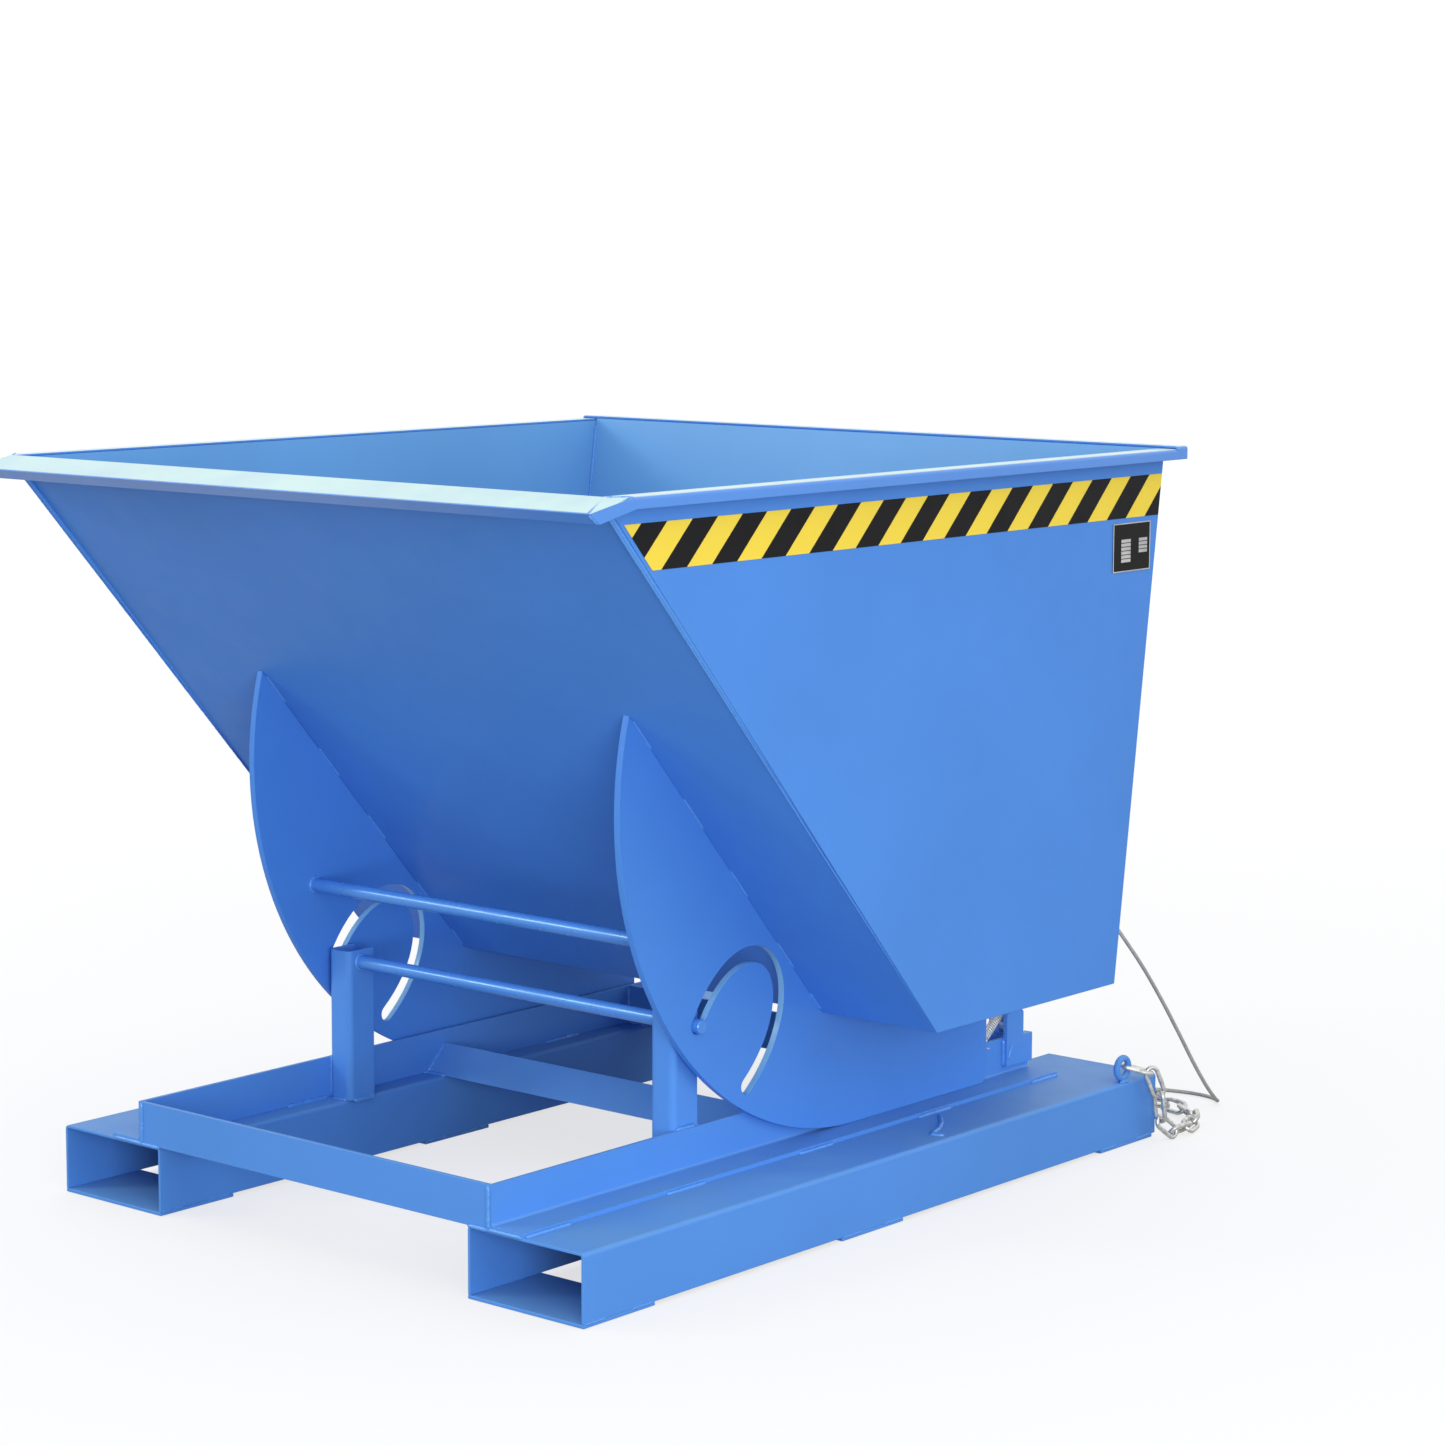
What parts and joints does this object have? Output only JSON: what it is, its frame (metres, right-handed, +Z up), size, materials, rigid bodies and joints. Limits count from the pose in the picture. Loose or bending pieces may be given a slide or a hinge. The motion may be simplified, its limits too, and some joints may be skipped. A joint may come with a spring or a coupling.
{
  "type": "self dumping hopper",
  "caption": "Forklift tipping skip: a welded tank on rocker plates that roll forward on a base with fork pockets, held by a rope-released latch.",
  "frame": {"origin": "on the floor, in the middle of the box round the frame, tank and chain, without the free rope", "axes": "+Z up, -Y the side it dumps over, +X the side with the hazard tape"},
  "size_m": [1.154, 1.6189, 1.049],
  "materials": {
    "frame_paint": "gloss",
    "tank_paint": "satin",
    "rim_paint": "gloss",
    "zinc": "galvanised",
    "tape": "satin film with black stripes",
    "plate": "printed black with bare bars",
    "wire_rope": "galvanised wire rope",
    "grip": "matt"
  },
  "bodies": {
    "base": {"fork_pocket_right": "frame_paint", "fork_pocket_left": "frame_paint", "pocket_strap_front_right": "frame_paint", "pocket_strap_front_left": "frame_paint", "pocket_strap_middle_right": "frame_paint", "pocket_strap_middle_left": "frame_paint", "pocket_strap_rear_right": "frame_paint", "pocket_strap_rear_left": "frame_paint", "rail_right": "frame_paint", "rail_left": "frame_paint", "front_cross_member": "frame_paint", "middle_cross_member": "frame_paint", "rear_cross_member": "frame_paint", "post_right": "frame_paint", "post_left": "frame_paint", "guide_rod": "frame_paint", "rail_end_plate_right": "frame_paint", "rail_end_plate_left": "frame_paint", "latch_bracket": "frame_paint", "latch_axle": "zinc", "chain_lug": "frame_paint", "return_spring": "zinc", "pull_rope": "wire_rope", "rope_coil": "wire_rope", "rope_handle": "grip"},
    "roll_carrier": {"side_plug": "tank_paint"},
    "hopper": {"tank_front": "tank_paint", "tank_floor": "tank_paint", "tank_rear": "tank_paint", "tank_side_right": "tank_paint", "tank_side_left": "tank_paint", "pour_lip": "rim_paint", "side_rim_right": "rim_paint", "side_rim_left": "rim_paint", "rear_rim": "rim_paint", "rocker_right": "tank_paint", "rocker_left": "tank_paint", "tie_rod": "tank_paint", "catch_bracket": "tank_paint", "catch_bar": "zinc", "hazard_tape": "tape", "data_plate": "plate"},
    "latch": {"release_lever": "frame_paint", "axle_spacer": "zinc", "rope_ring": "zinc", "rope_fitting": "zinc"},
    "hanging_chain": {"chain_link_01": "zinc", "chain_link_02": "zinc", "chain_link_03": "zinc", "chain_link_04": "zinc"},
    "lying_chain": {"chain_link_05": "zinc", "chain_link_06": "zinc", "chain_link_07": "zinc", "chain_link_08": "zinc", "chain_link_09": "zinc", "chain_link_10": "zinc", "chain_link_11": "zinc"}
  },
  "joints": [
    {"name": "hopper_roll", "type": "slide", "parent": "base", "child": "roll_carrier", "axis": [0, -1, 0], "range_m": [0, 0.695]},
    {"name": "hopper_tip", "type": "hinge", "parent": "roll_carrier", "child": "hopper", "pos_m": [0, 0.04679, 0.6], "axis": [1, 0, 0], "range_deg": [0, 80]},
    {"name": "latch_release", "type": "hinge", "parent": "base", "child": "latch", "pos_m": [0.3, 0.46179, 0.172], "axis": [1, 0, 0], "range_deg": [-18, 0], "stiffness_Nm_per_rad": 8, "springref_deg": 11.46, "deforming": ["return_spring", "pull_rope"]},
    {"name": "chain_swing", "type": "hinge", "parent": "base", "child": "hanging_chain", "pos_m": [0.488, 0.52579, 0.1173], "axis": [1, 0, 0], "range_deg": [0, 22]},
    {"name": "chain_trail", "type": "hinge", "parent": "hanging_chain", "child": "lying_chain", "pos_m": [0.5273, 0.61059, 0.012], "axis": [0, 0, 1], "range_deg": [-15, 5]}
  ],
  "couplings": [
    {"joint": "hopper_roll", "follows": "hopper_tip", "m_per_rad": 0.497}
  ]
}
